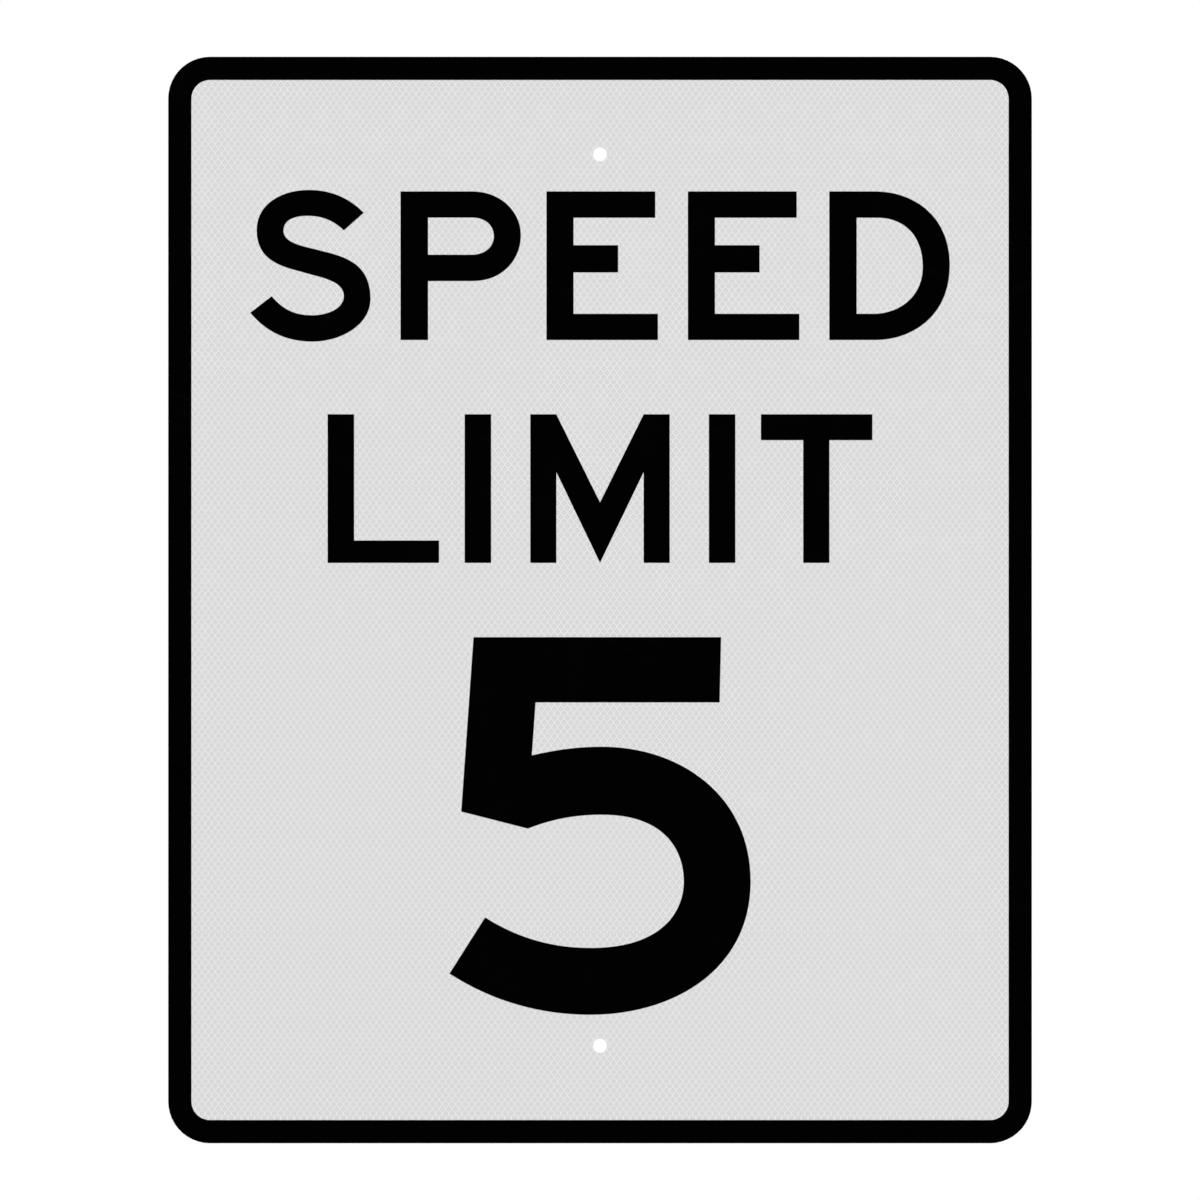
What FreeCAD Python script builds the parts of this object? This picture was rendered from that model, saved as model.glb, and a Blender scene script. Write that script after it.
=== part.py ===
import FreeCAD, Part
import math
import os

# Flat road sign for a post: a punched aluminium blank, faced with retroreflective
# sheeting, with a black border and a black numeral cut from thin film on its face.
#
# Frame: the origin is midway between the two bolt holes, on the back face of the blank.
# +X runs to the reader's right, +Z runs up, and the printed face looks along -Y.
# All sizes are millimetres. Depth is counted forwards from the back face, along -Y.

# Plate
PLATE_WIDTH = 590.55
PLATE_HEIGHT = 742.95
PLATE_CORNER_RADIUS = 28.575
BLANK_THICKNESS = 2.032
BACK_EDGE_RADIUS = 0.3

# Layers on the plate
SHEETING_THICKNESS = 0.4
FILM_THICKNESS = 0.08
BORDER_WIDTH = 15.875

# Bolt holes, one above the other on the middle line
HOLE_DIAMETER = 9.525
HOLE_FROM_PLATE_END = 66.675

# Numeral, measured from its own middle line and from the line that it stands on
NUMERAL_LINE_FROM_PLATE_END = 92.075
NUMERAL_HEIGHT = 254.0
BOWL_STROKE = 45.7
STEM_STROKE = 45.6
TAIL_STROKE = 45.6
FLAG_DEPTH = 44.6
FLAG_REACH = 82.8
FLAG_END_LEAN = 1.0
STEM_TOP_REACH = 86.5
STEM_FOOT_REACH = 94.9
STEM_FOOT_HEIGHT = 134.7
STEM_CUT_BACK = 36.2
NOTCH_REACH = 49.4
NOTCH_HEIGHT = 123.1
NOTCH_HEADING = 21.3
BOWL_REACH = 103.0
BOWL_CREST = 179.1
BOWL_CREST_STROKE = 46.5
BOWL_CREST_OFFSET = 1.1
BOWL_MIDDLE_HEIGHT = 87.0
BOWL_FOOT_DROP = 4.2
BOWL_FOOT_OFFSET = 6.4
BOWL_SPRING_HEADING = 13.0
TAIL_HEIGHT = 23.9
TAIL_CUT_ANGLE = 57.6

FRONT_OF_BLANK = BLANK_THICKNESS
FRONT_OF_SHEETING = FRONT_OF_BLANK + SHEETING_THICKNESS
HOLE_HEIGHT = PLATE_HEIGHT / 2 - HOLE_FROM_PLATE_END
NUMERAL_LINE = NUMERAL_LINE_FROM_PLATE_END - PLATE_HEIGHT / 2

# How far a curve runs on along its heading before it bends, as a share of its chord.
END_PULL = 0.35
OUTER_LEVEL_PULL = 0.39
OUTER_UPRIGHT_PULL = 0.43
INNER_LEVEL_PULL = 0.64
INNER_UPRIGHT_PULL = 0.25

LEFT, RIGHT, UP, DOWN = 180.0, 0.0, 90.0, 270.0


def at(across, up, depth=0.0):
    """A point of the sign: across to the right, up, and forwards of the back face."""
    return FreeCAD.Vector(across, -depth, up)


def forwards(length):
    return FreeCAD.Vector(0, -length, 0)


def corner_arc(side, end, width, height, radius, depth):
    """Three points of one round corner, from the upright edge to the level edge."""
    x = width / 2
    z = height / 2
    bite = radius * (1 - math.sqrt(0.5))
    return [
        at(side * x, end * (z - radius), depth),
        at(side * (x - bite), end * (z - bite), depth),
        at(side * (x - radius), end * z, depth),
    ]


def rounded_outline(width, height, radius, depth):
    """Closed outline of a rectangle about the origin, with round corners."""
    radius = max(radius, 0.01)
    arcs = [
        corner_arc(1, 1, width, height, radius, depth),
        corner_arc(-1, 1, width, height, radius, depth)[::-1],
        corner_arc(-1, -1, width, height, radius, depth),
        corner_arc(1, -1, width, height, radius, depth)[::-1],
    ]
    edges = []
    for index, arc in enumerate(arcs):
        following = arcs[(index + 1) % len(arcs)]
        edges.append(Part.Arc(*arc).toShape())
        edges.append(Part.makeLine(arc[-1], following[0]))
    return Part.Wire(edges)


def plate_layer(back_depth, thickness):
    """A layer with the whole outline of the plate."""
    outline = rounded_outline(PLATE_WIDTH, PLATE_HEIGHT, PLATE_CORNER_RADIUS, back_depth)
    return Part.Face(outline).extrude(forwards(thickness))


def punched(layer):
    """The layer with both bolt holes through it, at one size through the whole stack."""
    for height in (HOLE_HEIGHT, -HOLE_HEIGHT):
        start = at(0, height, -FRONT_OF_SHEETING)
        punch = Part.makeCylinder(HOLE_DIAMETER / 2, 4 * FRONT_OF_SHEETING, start, forwards(1))
        layer = layer.cut(punch)
    return layer.Solids[0]


def make_sign_blank():
    """Aluminium plate, its back edges and the backs of its holes rounded by deburring."""
    blank = punched(plate_layer(0, BLANK_THICKNESS))
    back_edges = [edge for edge in blank.Edges if abs(edge.BoundBox.YMin) < 1e-6]
    return blank.makeFillet(BACK_EDGE_RADIUS, back_edges)


def make_reflective_sheeting():
    """Sheeting bonded over the whole front of the blank and trimmed flush with it."""
    return punched(plate_layer(FRONT_OF_BLANK, SHEETING_THICKNESS))


def make_border_film():
    """Black band along the edge of the plate. Its inner corners share the outer centres."""
    band = plate_layer(FRONT_OF_SHEETING, FILM_THICKNESS)
    width = PLATE_WIDTH - 2 * BORDER_WIDTH
    height = PLATE_HEIGHT - 2 * BORDER_WIDTH
    radius = PLATE_CORNER_RADIUS - BORDER_WIDTH
    opening = rounded_outline(width, height, radius, FRONT_OF_SHEETING)
    band = band.cut(Part.Face(opening).extrude(forwards(FILM_THICKNESS)))
    return punched(band)


def numeral_point(across, up):
    """A point on the face, from the numeral's middle line and the line that it stands on."""
    return at(across, NUMERAL_LINE + up, FRONT_OF_SHEETING)


def heading(angle):
    """Unit step on the face along an angle in degrees, 0 to the right and 90 up."""
    turn = math.radians(angle)
    return at(math.cos(turn), math.sin(turn))


def straight(start, end):
    return Part.makeLine(start, end)


def bend(start, start_heading, start_pull, end, end_heading, end_pull):
    """A cubic curve that leaves one point and reaches the next on the given headings."""
    chord = start.distanceToPoint(end)
    curve = Part.BezierCurve()
    leaving = start + heading(start_heading) * (start_pull * chord)
    arriving = end - heading(end_heading) * (end_pull * chord)
    curve.setPoles([start, leaving, arriving, end])
    return curve.toShape()


def stem_side(height):
    """How far left the outer side of the stem is at a height. It leans out towards its foot."""
    share = (NUMERAL_HEIGHT - height) / (NUMERAL_HEIGHT - STEM_FOOT_HEIGHT)
    return STEM_TOP_REACH + share * (STEM_FOOT_REACH - STEM_TOP_REACH)


def numeral_points():
    """The corners of the numeral and the points where its bowl runs level or upright."""
    flag_under = NUMERAL_HEIGHT - FLAG_DEPTH
    stem_inner_end = flag_under - STEM_CUT_BACK
    tail_outer = numeral_point(-BOWL_REACH, TAIL_HEIGHT)
    return {
        "stem_top": numeral_point(-STEM_TOP_REACH, NUMERAL_HEIGHT),
        "stem_foot": numeral_point(-STEM_FOOT_REACH, STEM_FOOT_HEIGHT),
        "notch": numeral_point(-NOTCH_REACH, NOTCH_HEIGHT),
        "inner_crest": numeral_point(BOWL_CREST_OFFSET, BOWL_CREST - BOWL_CREST_STROKE),
        "inner_side": numeral_point(BOWL_REACH - BOWL_STROKE, BOWL_MIDDLE_HEIGHT),
        "inner_foot": numeral_point(-BOWL_FOOT_OFFSET, BOWL_STROKE - BOWL_FOOT_DROP),
        "tail_inner": tail_outer + heading(TAIL_CUT_ANGLE) * TAIL_STROKE,
        "tail_outer": tail_outer,
        "outer_foot": numeral_point(-BOWL_FOOT_OFFSET, -BOWL_FOOT_DROP),
        "outer_side": numeral_point(BOWL_REACH, BOWL_MIDDLE_HEIGHT),
        "outer_crest": numeral_point(BOWL_CREST_OFFSET, BOWL_CREST),
        "spring": numeral_point(STEM_STROKE - stem_side(stem_inner_end), stem_inner_end),
        "armpit": numeral_point(STEM_STROKE - stem_side(flag_under), flag_under),
        "flag_under_tip": numeral_point(FLAG_REACH - FLAG_END_LEAN, flag_under),
        "flag_tip": numeral_point(FLAG_REACH, NUMERAL_HEIGHT),
    }


def numeral_outline():
    """The numeral 5, drawn once round: down the stem, in along the bowl, out and back up."""
    p = numeral_points()
    tail_in = TAIL_CUT_ANGLE + 90
    tail_out = TAIL_CUT_ANGLE - 90
    spring = LEFT + BOWL_SPRING_HEADING
    edges = [
        straight(p["stem_top"], p["stem_foot"]),
        straight(p["stem_foot"], p["notch"]),
        bend(p["notch"], NOTCH_HEADING, END_PULL, p["inner_crest"], RIGHT, END_PULL),
        bend(p["inner_crest"], RIGHT, INNER_LEVEL_PULL, p["inner_side"], DOWN, INNER_UPRIGHT_PULL),
        bend(p["inner_side"], DOWN, INNER_UPRIGHT_PULL, p["inner_foot"], LEFT, INNER_LEVEL_PULL),
        bend(p["inner_foot"], LEFT, END_PULL, p["tail_inner"], tail_in, END_PULL),
        straight(p["tail_inner"], p["tail_outer"]),
        bend(p["tail_outer"], tail_out, END_PULL, p["outer_foot"], RIGHT, END_PULL),
        bend(p["outer_foot"], RIGHT, OUTER_LEVEL_PULL, p["outer_side"], UP, OUTER_UPRIGHT_PULL),
        bend(p["outer_side"], UP, OUTER_UPRIGHT_PULL, p["outer_crest"], LEFT, OUTER_LEVEL_PULL),
        bend(p["outer_crest"], LEFT, END_PULL, p["spring"], spring, END_PULL),
        straight(p["spring"], p["armpit"]),
        straight(p["armpit"], p["flag_under_tip"]),
        straight(p["flag_under_tip"], p["flag_tip"]),
        straight(p["flag_tip"], p["stem_top"]),
    ]
    return Part.Wire(edges)


def make_numeral_film():
    """Numeral cut from black film and laid on the sheeting."""
    return punched(Part.Face(numeral_outline()).extrude(forwards(FILM_THICKNESS)))


def main():
    os.makedirs("parts", exist_ok=True)
    pieces = {
        "sign_blank": make_sign_blank(),
        "reflective_sheeting": make_reflective_sheeting(),
        "border_film": make_border_film(),
        "numeral_film": make_numeral_film(),
    }
    for name, shape in pieces.items():
        shape.exportStep(f"parts/{name}.step")
        box = shape.BoundBox
        print(f"{name}: {box.XLength:.2f} x {box.YLength:.3f} x {box.ZLength:.2f} mm, "
              f"{shape.Volume:.0f} mm3, valid {shape.isValid()}")


main()
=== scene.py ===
# %% [markdown]
# A flat road sign, layer by layer
# A road sign is a stack of thin layers. At the back is an aluminium plate, the blank. Over its whole
# front lies white sheeting that sends light back to where it came from. On the sheeting lies black
# film: a border band, the words and the number.
# The solids already hold the plate, the sheeting, the border and the number at their real size.
# This lesson gives them their finish, presses the lattice of cells into the sheeting, and cuts the
# letters of the words. Everything is in metres, and the printed face looks along -Y.

import math

import bmesh
import bpy
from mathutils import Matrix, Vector


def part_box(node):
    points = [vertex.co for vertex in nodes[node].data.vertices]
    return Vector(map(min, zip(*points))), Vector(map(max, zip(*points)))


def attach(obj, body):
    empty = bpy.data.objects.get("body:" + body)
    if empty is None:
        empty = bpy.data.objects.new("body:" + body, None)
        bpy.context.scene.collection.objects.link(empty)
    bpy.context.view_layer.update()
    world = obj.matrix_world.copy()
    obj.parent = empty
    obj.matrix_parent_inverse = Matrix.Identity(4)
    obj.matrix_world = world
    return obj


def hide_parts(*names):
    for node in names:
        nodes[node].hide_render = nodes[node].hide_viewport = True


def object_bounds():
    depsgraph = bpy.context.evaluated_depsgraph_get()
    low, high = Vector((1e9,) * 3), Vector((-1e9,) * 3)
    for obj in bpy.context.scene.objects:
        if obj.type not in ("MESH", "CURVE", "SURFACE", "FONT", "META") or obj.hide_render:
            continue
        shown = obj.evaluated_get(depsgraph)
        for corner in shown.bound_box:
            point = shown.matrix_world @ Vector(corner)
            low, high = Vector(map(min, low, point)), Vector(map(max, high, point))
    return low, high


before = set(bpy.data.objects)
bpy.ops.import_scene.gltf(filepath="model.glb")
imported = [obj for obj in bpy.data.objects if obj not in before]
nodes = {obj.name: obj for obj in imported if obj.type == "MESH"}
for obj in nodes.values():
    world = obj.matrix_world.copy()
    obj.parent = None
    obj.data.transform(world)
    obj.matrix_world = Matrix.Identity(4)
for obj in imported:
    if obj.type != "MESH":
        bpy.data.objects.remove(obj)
cad_low, cad_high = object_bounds()

MM = 0.001
print("solids:", sorted(nodes))
print("box of the solids in mm:", [round(side / MM, 3) for side in cad_high - cad_low])

# %% [markdown]
# Where the layers lie
# Each layer's depth is read from its own solid, so a letter laid on the sheeting stays on it when
# the solids change. Depth grows towards the reader, along -Y.

# %% Read the depths of the layers
sheet_low, sheet_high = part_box("reflective_sheeting")
film_low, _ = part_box("border_film")

plate_width = sheet_high.x - sheet_low.x
plate_height = sheet_high.z - sheet_low.z
sheet_back = sheet_high.y
sheet_front = sheet_low.y
film_front = film_low.y
film_thickness = sheet_front - film_front
print("sheeting is", round((sheet_back - sheet_front) / MM, 3), "mm thick and its face lies at y =",
      round(sheet_front / MM, 3), "mm; film adds", round(film_thickness / MM, 3), "mm")

# %% [markdown]
# The camera
# The photograph looks straight at the sign and shows no perspective at all: both holes are round
# and the edges are parallel. A long lens from far away does that, and it still lets other views
# fit the whole sign. The camera only keeps a thin slab of space around the sign, so that the floor
# doesn't cross the straight view, which is plain white in the photograph.

# %% Place the camera
PHOTO_SIDE = 820.54 * MM
LENS = 800.0
SENSOR = 36.0
SLAB = 0.005

camera_data = bpy.data.cameras.new("straight_view")
camera_data.lens = LENS
camera_data.sensor_width = SENSOR
camera = bpy.data.objects.new("straight_view", camera_data)
bpy.context.scene.collection.objects.link(camera)

camera_distance = PHOTO_SIDE / SENSOR * LENS
camera.location = (0, film_front - camera_distance, 0)
camera.rotation_euler = (math.radians(90), 0, 0)
camera_data.clip_start = camera_distance - SLAB
camera_data.clip_end = camera_distance + SLAB
bpy.context.scene.camera = camera
bpy.context.scene.view_settings.view_transform = "Standard"
print("camera stands", round(camera_distance, 2), "m in front of the face")

# %% [markdown]
# Small helpers for node trees
# Shader trees and geometry trees are both built from nodes, links and plain values. The first
# helper feeds a socket with either a link or a value, and the second adds a node, sets it up and
# feeds it. The others work out a number: by a sum, by a smooth rise, or by a blend of two numbers.

# %% Helpers for node trees
def feed(tree, socket, source):
    """Link a socket to an output, or set its own value."""
    if isinstance(source, bpy.types.NodeSocket):
        tree.links.new(source, socket)
    else:
        socket.default_value = source


def put(tree, kind, settings=None, **inputs):
    """Add a node, change its settings and feed its inputs by their names."""
    node = tree.nodes.new(kind)
    for name, value in (settings or {}).items():
        setattr(node, name, value)
    for name, source in inputs.items():
        feed(tree, node.inputs[name.replace("_", " ")], source)
    return node


def maths(tree, operation, *sources):
    """A sum, product or other step on plain numbers."""
    node = tree.nodes.new("ShaderNodeMath")
    node.operation = operation
    for socket, source in zip(node.inputs, sources):
        feed(tree, socket, source)
    return node.outputs[0]


def ramp(tree, value, start, end, low=0.0, high=1.0):
    """A smooth rise from the low to the high number, as a value goes from its start to its end."""
    return put(tree, "ShaderNodeMapRange", {"interpolation_type": "SMOOTHSTEP"}, Value=value,
               From_Min=start, From_Max=end, To_Min=low, To_Max=high).outputs[0]


def between(tree, mask, low, high):
    """One number where the mask is 0 and another where it is 1."""
    return put(tree, "ShaderNodeMix", {"data_type": "FLOAT"}, Factor=mask, A=low, B=high).outputs[0]


# %% [markdown]
# The studio
# The photograph's white is flat and its black is fully black, so the light on the face must be
# even and nothing bright may mirror in it. Sun lamps give a flat face the same light all over.
# The world adds a little light from everywhere. The camera, and rays that mirror or pass through,
# see it white, apart from a dark patch behind the camera, as where a photographer stands.

# %% Make the world
AMBIENT = 0.24
DARK_PATCH_EDGE = (0.65, 0.05)

world = bpy.data.worlds.new("white_studio")
world.use_nodes = True
world_tree = world.node_tree
world_tree.nodes.clear()
bpy.context.scene.world = world

rays = put(world_tree, "ShaderNodeLightPath").outputs
direction = put(world_tree, "ShaderNodeTexCoord").outputs["Generated"]
split = put(world_tree, "ShaderNodeSeparateXYZ", Vector=direction).outputs
towards_camera = maths(world_tree, "MULTIPLY", split["Y"], -1.0)
dome = ramp(world_tree, towards_camera, *DARK_PATCH_EDGE)
seen = maths(world_tree, "MAXIMUM", rays["Is Camera Ray"], rays["Is Transmission Ray"])
strength = between(world_tree, seen, AMBIENT, 1.0)
strength = between(world_tree, rays["Is Glossy Ray"], strength, dome)
background = put(world_tree, "ShaderNodeBackground", Color=(1, 1, 1, 1), Strength=strength)
put(world_tree, "ShaderNodeOutputWorld", Surface=background.outputs[0])
print("world lights at", AMBIENT, "and shows white")

# %% [markdown]
# The lamps
# Three suns do the lighting: a key from the upper left, a weaker fill from the right, and a rim
# light from behind that shows the back. Their wide discs make the shadows soft. What counts for the
# face is how much of each sun's light falls on it, and the sum of that is printed.

# %% Hang the lamps
LAMP_DISTANCE = 3.0


def hang_sun(name, azimuth, elevation, power, spread):
    """A soft sun at an azimuth and elevation: 0 is in front of the sign, 90 to its right."""
    lamp = bpy.data.lights.new(name, "SUN")
    lamp.energy = power
    lamp.angle = math.radians(spread)
    holder = bpy.data.objects.new(name, lamp)
    bpy.context.scene.collection.objects.link(holder)
    turn = math.radians(azimuth)
    rise = math.radians(elevation)
    level = math.cos(rise)
    source = Vector((math.sin(turn) * level, -math.cos(turn) * level, math.sin(rise)))
    holder.rotation_euler = source.to_track_quat("Z", "Y").to_euler()
    holder.location = source * LAMP_DISTANCE
    return power * max(0.0, -source.y)


face_light = hang_sun("key_left", -38, 42, 2.92, 45)
face_light += hang_sun("fill_right", 48, 24, 1.40, 55)
hang_sun("rim_back", 150, 40, 0.9, 60)
print("suns light the face at", round(face_light / math.pi, 3), "of full level")

# %% [markdown]
# The floor
# The sign stands on its lower edge on a large pale floor, which keeps its shadow. To rays that are
# seen, the floor glows a little, so that it is white where no shadow falls. It throws less light
# back on the sign than it shows, so that the face stays even down to its foot. Mirrored rays go on
# to the world, which is as white, or else the foot of the sign would mirror the floor before it.
# Seen from below the floor is clear.

# %% Lay the floor
FLOOR_SIDE = 60.0
FLOOR_PALE = 0.8
FLOOR_THROW = 0.2
FLOOR_GLOW = 0.12

bpy.ops.mesh.primitive_plane_add(size=FLOOR_SIDE, location=(0, 0, cad_low.z))
floor = bpy.context.object
floor.name = "floor"
floor.visible_glossy = False

floor_finish = bpy.data.materials.new("pale_floor")
floor_finish.use_nodes = True
floor_tree = floor_finish.node_tree
floor_tree.nodes.clear()
rays = put(floor_tree, "ShaderNodeLightPath").outputs
seen = maths(floor_tree, "MAXIMUM", rays["Is Camera Ray"], rays["Is Transmission Ray"])
tone = between(floor_tree, seen, FLOOR_THROW, FLOOR_PALE)
matt = put(floor_tree, "ShaderNodeBsdfDiffuse", Color=tone)
glow = put(floor_tree, "ShaderNodeEmission", Strength=maths(floor_tree, "MULTIPLY", seen, FLOOR_GLOW))
pale = floor_tree.nodes.new("ShaderNodeAddShader")
floor_tree.links.new(matt.outputs[0], pale.inputs[0])
floor_tree.links.new(glow.outputs[0], pale.inputs[1])
clear = put(floor_tree, "ShaderNodeBsdfTransparent")
either = floor_tree.nodes.new("ShaderNodeMixShader")
feed(floor_tree, either.inputs[0], put(floor_tree, "ShaderNodeNewGeometry").outputs["Backfacing"])
floor_tree.links.new(pale.outputs[0], either.inputs[1])
floor_tree.links.new(clear.outputs[0], either.inputs[2])
put(floor_tree, "ShaderNodeOutputMaterial", Surface=either.outputs[0])
floor.data.materials.append(floor_finish)
print("floor lies at z =", round(cad_low.z / MM, 3), "mm")

# %% [markdown]
# The lattice of cells
# White road sheeting could be pressed by a patterned drum, which leaves rows of small six-sided
# cells. Their walls show as fine light lines, 0.6 mm wide, round slightly greyer cells. Each cell has
# two short upright walls and four long slanted ones, so it looks nearly like a diamond. Each cell is
# painted a little darker along its walls than in its middle, as painted shade beside the walls. In
# the photograph the print repeats every 12 inches, and where one print ends and the next begins the
# rows are simply cut. These few sizes describe the whole pattern. The shader draws the walls from
# them and the geometry tree below presses the same cells into the sheeting's face.

# %% Sizes of the cells
CELL_WIDTH = 4.505 * MM
ROW_PITCH = 3.126 * MM
UPRIGHT_WALL = 0.75 * MM
WALL_LINE = 0.6 * MM
# How far the painted shade beside the walls reaches into each cell.
SHADED_RIM_WIDTH = 0.87 * MM
CROWN = 0.02 * MM
FIRST_COLUMN = 2.549 * MM
FIRST_ROW = 0.454 * MM
PRINT_LENGTH = 304.8 * MM
PRINT_FOOT = -228.0 * MM

slope = (ROW_PITCH - UPRIGHT_WALL) / (CELL_WIDTH / 2)
print("cells are", round(CELL_WIDTH / MM, 2), "mm wide; their slanted walls lean",
      round(math.degrees(math.atan(slope)), 1), "degrees")

# %% [markdown]
# A shader group for the cell walls
# The distance to the nearest wall decides what is line and what is cell. Two sets of cells fill the
# plane, one in the even rows and one in the odd rows, half a cell further on. For each set the
# place inside its own cell comes from wrapping the coordinates, and the cell's shape gives a
# distance that is positive inside. The larger of the two is the cell that the point lies in. Lines
# and the painted shade beside the walls fade softly, between two shares of their width.

# %% Build the group for the cell walls
LINE_FADE = (0.7, 0.3)
# How the painted shade beside the walls fades, as shares of its width.
SHADED_RIM_FADE = (0.7, 1.3)


def new_group(name, inputs, outputs):
    """A shader group with named sockets. Returns the group, what it is given and what it hands on."""
    group = bpy.data.node_groups.new(name, "ShaderNodeTree")
    for socket, kind in inputs.items():
        group.interface.new_socket(socket, in_out="INPUT", socket_type=kind)
    for socket, kind in outputs.items():
        group.interface.new_socket(socket, in_out="OUTPUT", socket_type=kind)
    given = group.nodes.new("NodeGroupInput").outputs
    result = group.nodes.new("NodeGroupOutput").inputs
    return group, given, result


def off_middle(tree, value, half_period):
    """How far a value lies from the middle of the period that it falls in."""
    start = maths(tree, "MULTIPLY", half_period, -1.0)
    return maths(tree, "ABSOLUTE", maths(tree, "WRAP", value, half_period, start))


def inside_cell(tree, across, up, sizes):
    """Distance from the walls of the cell about a point that repeats; positive inside it."""
    half_width = maths(tree, "DIVIDE", sizes["Cell width"], 2.0)
    pitch = sizes["Row pitch"]
    across = off_middle(tree, across, half_width)
    up = off_middle(tree, up, pitch)
    to_upright = maths(tree, "SUBTRACT", half_width, across)
    tip = maths(tree, "SUBTRACT", pitch, maths(tree, "DIVIDE", sizes["Upright wall"], 2.0))
    rise = maths(tree, "SUBTRACT", pitch, sizes["Upright wall"])
    lean = maths(tree, "DIVIDE", rise, half_width)
    above = maths(tree, "SUBTRACT", maths(tree, "SUBTRACT", tip, up), maths(tree, "MULTIPLY", across, lean))
    level = maths(tree, "COSINE", maths(tree, "ARCTANGENT", lean))
    to_slanted = maths(tree, "MULTIPLY", above, level)
    return maths(tree, "MINIMUM", to_upright, to_slanted)


def build_cell_walls():
    """Group: the light lines between pressed cells, and the middles of the cells away from the painted shade
    beside the walls, as masks.
    """
    sizes = ["Cell width", "Row pitch", "Upright wall", "Line width", "Rim width", "First column",
             "First row", "Print length", "Print foot"]
    inputs = {"Position": "NodeSocketVector"}
    inputs.update({name: "NodeSocketFloat" for name in sizes})
    group, given, result = new_group(
        "cell_walls", inputs, {"Wall": "NodeSocketFloat", "Middle": "NodeSocketFloat"})
    place = put(group, "ShaderNodeSeparateXYZ", Vector=given["Position"]).outputs
    across = maths(group, "SUBTRACT", place["X"], given["First column"])
    up = maths(group, "SUBTRACT", place["Z"], given["Print foot"])
    up = maths(group, "SUBTRACT", maths(group, "WRAP", up, given["Print length"], 0.0), given["First row"])
    even = inside_cell(group, across, up, given)
    half_width = maths(group, "DIVIDE", given["Cell width"], 2.0)
    odd = inside_cell(group, maths(group, "SUBTRACT", across, half_width),
                      maths(group, "SUBTRACT", up, given["Row pitch"]), given)
    distance = maths(group, "MAXIMUM", even, odd)
    line_fade = [maths(group, "MULTIPLY", given["Line width"], share) for share in LINE_FADE]
    feed(group, result["Wall"], ramp(group, distance, *line_fade))
    # Painted shade: the cell is darker within this width of its walls, and its middle is lighter.
    shaded_rim_fade = [maths(group, "MULTIPLY", given["Rim width"], share) for share in SHADED_RIM_FADE]
    feed(group, result["Middle"], ramp(group, distance, *shaded_rim_fade))
    return group


cell_walls = build_cell_walls()
print("cell wall group has", len(cell_walls.nodes), "nodes")

# %% [markdown]
# Three more shared effects
# No plastic film is perfectly flat: its face ripples a little, as orange peel does. Metal and
# plastic both get a soft cloudiness from handling. Both are also scuffed, when plates are stacked
# and slid over each other: the scuffs are thin, they run roughly one way, and they come in patches.
# Each effect is a group, so that every finish can use it with its own values.

# %% Build the ripple, the clouding and the scuffs
NOISE_LOW = 0.3
NOISE_HIGH = 0.7
SCUFF_PATCHES_PER_METRE = 11.0
SCUFF_PATCH_EDGE = (0.5, 0.62)


def build_ripple():
    """Group: a fine uneven surface, as a normal."""
    group, given, result = new_group(
        "fine_ripple",
        {"Position": "NodeSocketVector", "Ripples per metre": "NodeSocketFloat", "Depth": "NodeSocketFloat"},
        {"Normal": "NodeSocketVector"})
    wave = put(group, "ShaderNodeTexNoise", Vector=given["Position"], Scale=given["Ripples per metre"],
               Detail=2.0, Roughness=0.5)
    bump = put(group, "ShaderNodeBump", Height=wave.outputs[0], Distance=given["Depth"], Strength=1.0)
    feed(group, result["Normal"], bump.outputs[0])
    return group


def build_clouding():
    """Group: a soft uneven patchiness about a middle value."""
    group, given, result = new_group(
        "soft_clouding",
        {"Position": "NodeSocketVector", "Patches per metre": "NodeSocketFloat", "Middle": "NodeSocketFloat",
         "Swing": "NodeSocketFloat"},
        {"Value": "NodeSocketFloat"})
    patch = put(group, "ShaderNodeTexNoise", Vector=given["Position"], Scale=given["Patches per metre"],
                Detail=5.0, Roughness=0.6)
    low = maths(group, "SUBTRACT", given["Middle"], given["Swing"])
    high = maths(group, "ADD", given["Middle"], given["Swing"])
    spread = put(group, "ShaderNodeMapRange", Value=patch.outputs[0], From_Min=NOISE_LOW,
                 From_Max=NOISE_HIGH, To_Min=low, To_Max=high)
    feed(group, result["Value"], spread.outputs[0])
    return group


def build_scuffs():
    """Group: sparse hairline scuffs that run roughly one way, as a mask."""
    group, given, result = new_group(
        "hairline_scuffs",
        {"Position": "NodeSocketVector", "Turn": "NodeSocketFloat", "Lines per metre": "NodeSocketFloat",
         "Stretch": "NodeSocketFloat", "Fineness": "NodeSocketFloat"},
        {"Scuff": "NodeSocketFloat"})
    turned = put(group, "ShaderNodeVectorRotate", {"rotation_type": "Y_AXIS"}, Vector=given["Position"],
                 Angle=given["Turn"]).outputs[0]
    along = maths(group, "DIVIDE", given["Lines per metre"], given["Stretch"])
    squeeze = put(group, "ShaderNodeCombineXYZ", X=given["Lines per metre"], Y=along, Z=along).outputs[0]
    spot = put(group, "ShaderNodeMapping", Vector=turned, Scale=squeeze).outputs[0]
    wave = put(group, "ShaderNodeTexNoise", Vector=spot, Scale=1.0, Detail=1.0).outputs[0]
    crest = maths(group, "ABSOLUTE", maths(group, "SUBTRACT", wave, 0.5))
    line = ramp(group, crest, given["Fineness"], 0.0)
    patch = put(group, "ShaderNodeTexNoise", Vector=turned, Scale=SCUFF_PATCHES_PER_METRE,
                Detail=2.0).outputs[0]
    patch = ramp(group, patch, *SCUFF_PATCH_EDGE)
    feed(group, result["Scuff"], maths(group, "MULTIPLY", line, patch))
    return group


fine_ripple = build_ripple()
soft_clouding = build_clouding()
hairline_scuffs = build_scuffs()
print("shared groups:", [group.name for group in (cell_walls, fine_ripple, soft_clouding, hairline_scuffs)])

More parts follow.
